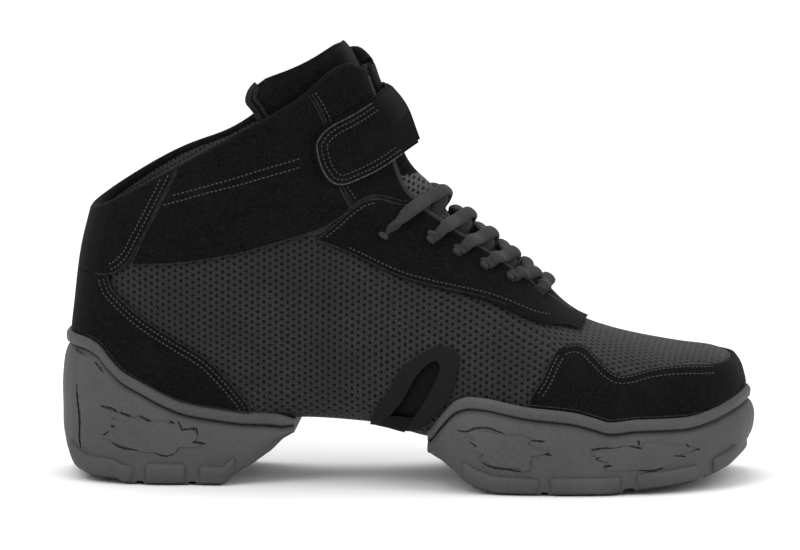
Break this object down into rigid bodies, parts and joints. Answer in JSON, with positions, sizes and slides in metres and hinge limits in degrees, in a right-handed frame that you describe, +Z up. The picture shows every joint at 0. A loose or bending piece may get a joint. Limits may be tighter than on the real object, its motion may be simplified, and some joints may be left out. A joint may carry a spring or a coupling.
{
  "type": "high-top dance sneaker",
  "caption": "High-top dance sneaker for the right foot: knit upper with suede panels, ankle strap, laces and a split rubber sole with an open arch.",
  "frame": {"origin": "on the floor under the ball of the foot, on the flat spot of the forefoot unit", "axes": "+X to the toe, +Y to the inner (medial) side, +Z up from the floor"},
  "size_m": [0.2719, 0.1025, 0.1738],
  "materials": {
    "rubber": "grainy matt grey",
    "knit": "open dark grey mesh",
    "lining": "grey mesh lining",
    "suede": "black napped suede",
    "trim": "smooth black cloth",
    "stretch": "black stretch cloth",
    "metal": "dark bright metal",
    "lace": "dark grey woven lace"
  },
  "bodies": {
    "root": {"outsole_heel": "rubber", "outsole_forefoot": "rubber", "upper": "knit", "insole": "lining", "tongue": "suede", "toe_cap": "suede", "heel_counter": "suede", "back_panel": "suede", "eyestay": "suede", "collar_panel_lateral": "suede", "collar_panel_medial": "suede", "collar_ear_lateral": "suede", "collar_ear_medial": "suede", "ankle_strap": "suede", "arch_trim_lateral": "trim", "arch_trim_medial": "trim", "arch_gusset_lateral": "stretch", "arch_gusset_medial": "stretch", "eyelet_lateral_1": "metal", "eyelet_lateral_2": "metal", "eyelet_lateral_3": "metal", "eyelet_lateral_4": "metal", "eyelet_lateral_5": "metal", "eyelet_lateral_6": "metal", "eyelet_medial_1": "metal", "eyelet_medial_2": "metal", "eyelet_medial_3": "metal", "eyelet_medial_4": "metal", "eyelet_medial_5": "metal", "eyelet_medial_6": "metal", "lace_bar": "lace", "lace_crossing_1": "lace", "lace_crossing_2": "lace", "lace_crossing_3": "lace", "lace_crossing_4": "lace", "lace_crossing_5": "lace"}
  },
  "joints": []
}
